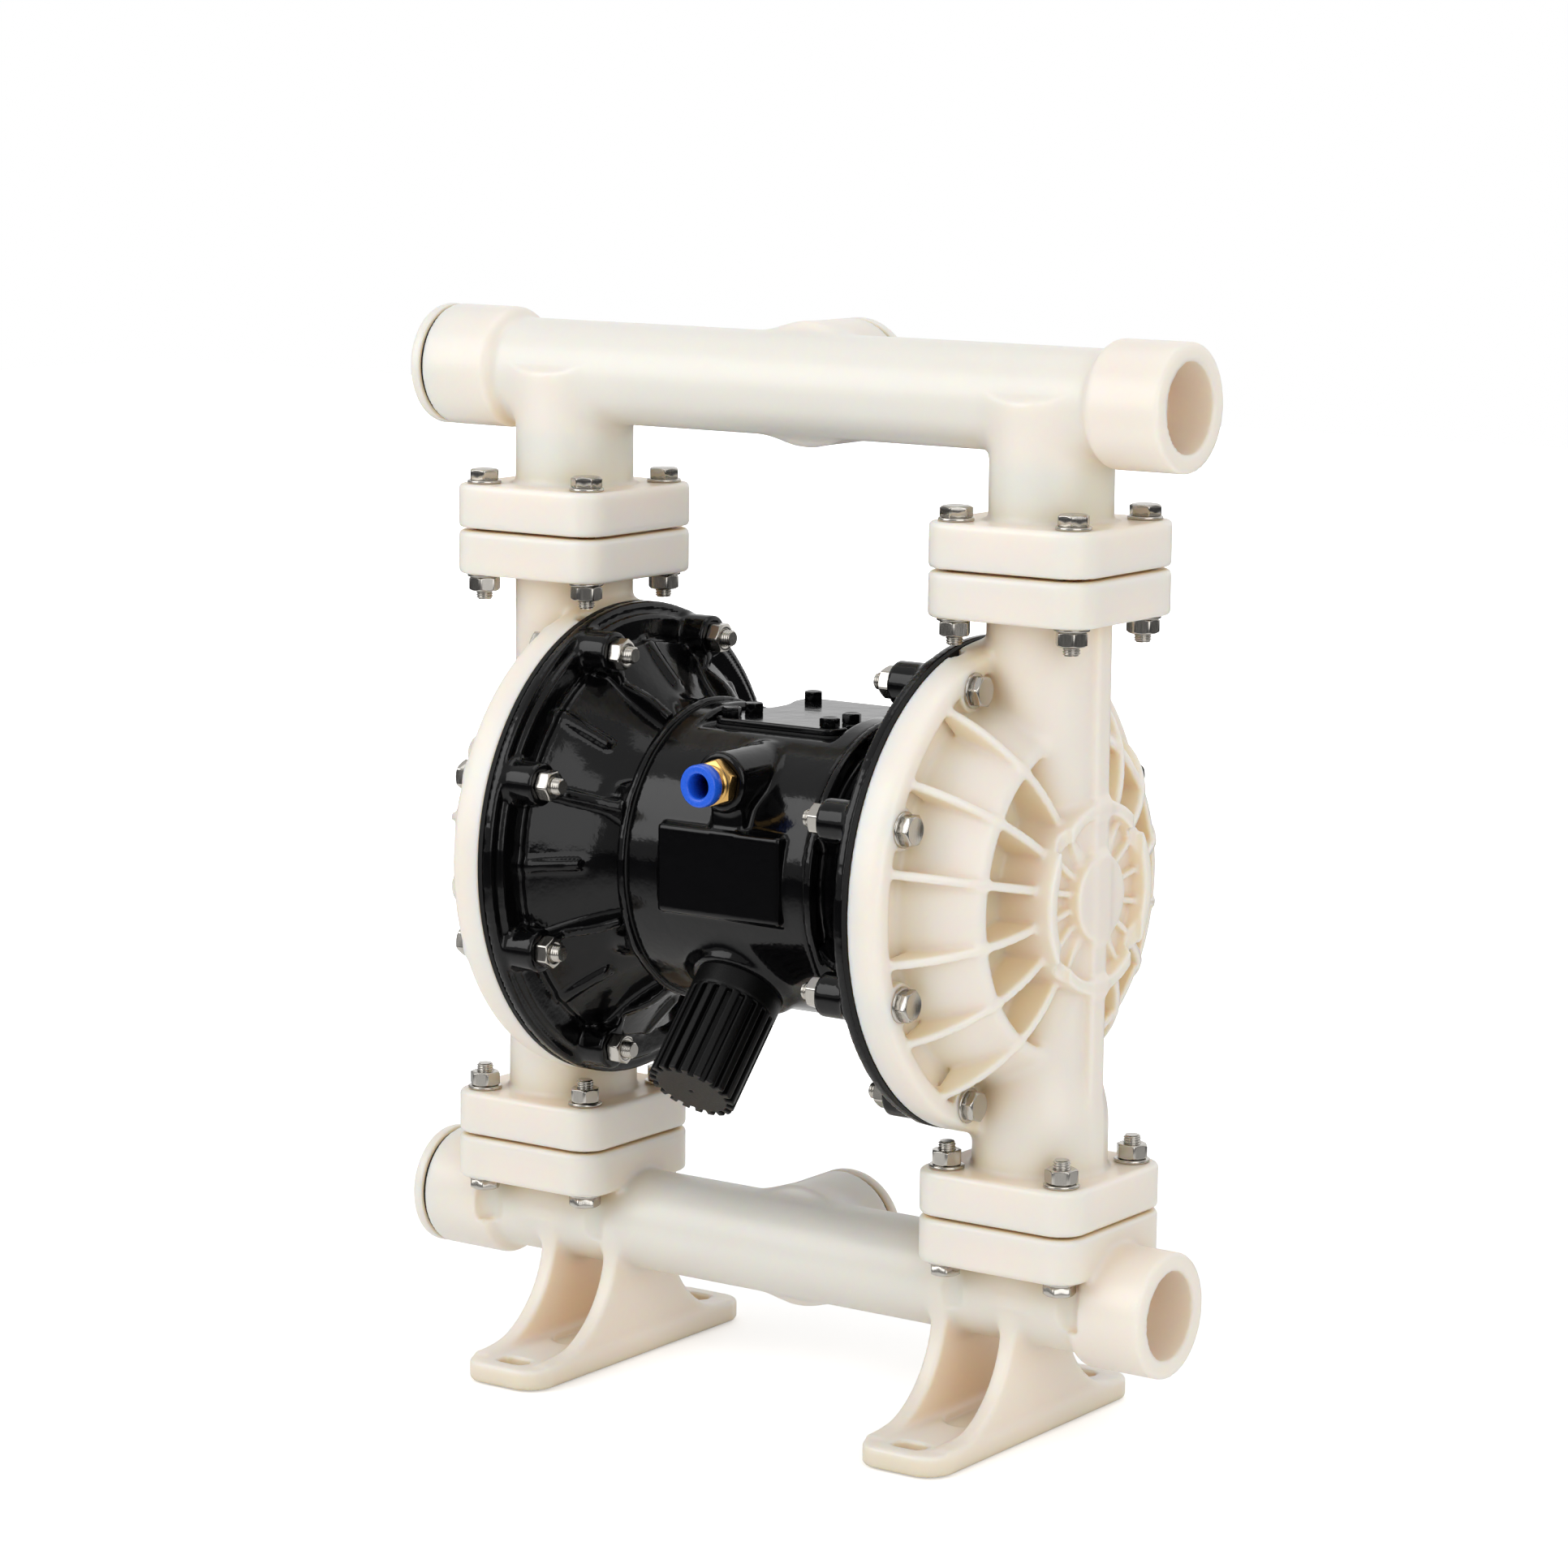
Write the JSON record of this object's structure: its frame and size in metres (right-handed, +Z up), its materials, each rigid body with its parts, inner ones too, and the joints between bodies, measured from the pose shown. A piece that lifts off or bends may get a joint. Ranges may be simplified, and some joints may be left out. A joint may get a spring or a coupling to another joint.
{
  "type": "air operated diaphragm pump",
  "caption": "Air operated double diaphragm pump: moulded ribbed fluid chambers and manifolds, black cast air side, ball check valves, sliding shaft, silencer and push-in air fitting.",
  "frame": {"origin": "on the floor, at the centre of the four foot slots, under the middle of the pump", "axes": "+X along the diaphragm shaft and both manifolds towards the open ports, +Y towards the back, so the air inlet and silencer face -Y, +Z up"},
  "size_m": [0.5112, 0.278, 0.6203],
  "materials": {
    "ivory_polypropylene": "moulded natural polypropylene, smooth and slightly translucent",
    "ivory_plug": "moulded natural polypropylene",
    "black_enamel": "black gloss enamel over die-cast aluminium",
    "stainless_steel": "plain stainless steel",
    "zinc_steel": "zinc-plated cap screws",
    "brass": "turned and nickel-free brass",
    "blue_acetal": "moulded blue plastic",
    "black_rubber": "black rubber",
    "gasket_sheet": "dark gasket sheet",
    "white_ptfe": "white fluoropolymer",
    "seat_polypropylene": "moulded polypropylene",
    "bare_aluminium": "machined aluminium",
    "acetal_bearing": "machined acetal",
    "black_nylon": "moulded black nylon",
    "felt": "pressed felt sound absorber"
  },
  "bodies": {
    "housing": {"discharge_manifold": "ivory_polypropylene", "suction_manifold": "ivory_polypropylene", "right_fluid_chamber": "ivory_polypropylene", "left_fluid_chamber": "ivory_polypropylene", "side_port_plugs": "ivory_plug", "back_port_plugs": "ivory_plug", "right_air_chamber": "black_enamel", "left_air_chamber": "black_enamel", "center_block": "black_enamel", "valve_cover": "black_enamel", "valve_cover_screws": "black_enamel", "manifold_bolts": "stainless_steel", "manifold_nuts": "stainless_steel", "chamber_bolts": "stainless_steel", "chamber_nuts": "stainless_steel", "air_chamber_screws": "zinc_steel", "air_fitting_body": "brass", "port_plug_rings": "black_rubber", "shaft_seals": "black_rubber", "right_diaphragm": "black_rubber", "left_diaphragm": "black_rubber", "valve_seat_seals": "black_rubber", "center_block_gaskets": "gasket_sheet", "valve_cover_gasket": "gasket_sheet", "discharge_valve_seats": "seat_polypropylene", "suction_valve_seats": "seat_polypropylene", "air_valve_sleeve": "bare_aluminium", "valve_end_caps": "bare_aluminium", "shaft_bushes": "acetal_bearing", "pilot_bushes": "acetal_bearing", "muffler_body": "black_nylon", "muffler_element": "felt"},
    "shaft": {"main_shaft": "stainless_steel", "inner_diaphragm_plates": "bare_aluminium", "outer_diaphragm_plates": "seat_polypropylene"},
    "spool": {"air_valve_spool": "acetal_bearing"},
    "pilot": {"pilot_pin": "stainless_steel"},
    "right_discharge_check": {"right_discharge_ball": "white_ptfe"},
    "left_discharge_check": {"left_discharge_ball": "white_ptfe"},
    "right_suction_check": {"right_suction_ball": "white_ptfe"},
    "left_suction_check": {"left_suction_ball": "white_ptfe"},
    "collet": {"release_collet": "blue_acetal"}
  },
  "joints": [
    {"name": "shaft_slide", "type": "slide", "parent": "housing", "child": "shaft", "axis": [1, 0, 0], "range_m": [-0.01, 0.01], "deforming": ["right_diaphragm", "left_diaphragm"]},
    {"name": "spool_slide", "type": "slide", "parent": "housing", "child": "spool", "axis": [1, 0, 0], "range_m": [-0.005, 0.005]},
    {"name": "pilot_slide", "type": "slide", "parent": "housing", "child": "pilot", "axis": [1, 0, 0], "range_m": [-0.003, 0.003]},
    {"name": "right_discharge_lift", "type": "slide", "parent": "housing", "child": "right_discharge_check", "axis": [0, 0, 1], "range_m": [0, 0.012]},
    {"name": "left_discharge_lift", "type": "slide", "parent": "housing", "child": "left_discharge_check", "axis": [0, 0, 1], "range_m": [0, 0.012]},
    {"name": "right_suction_lift", "type": "slide", "parent": "housing", "child": "right_suction_check", "axis": [0, 0, 1], "range_m": [0, 0.012]},
    {"name": "left_suction_lift", "type": "slide", "parent": "housing", "child": "left_suction_check", "axis": [0, 0, 1], "range_m": [0, 0.012]},
    {"name": "collet_press", "type": "slide", "parent": "housing", "child": "collet", "axis": [0, 1, 0], "range_m": [0, 0.0012], "stiffness_N_per_m": 800}
  ]
}
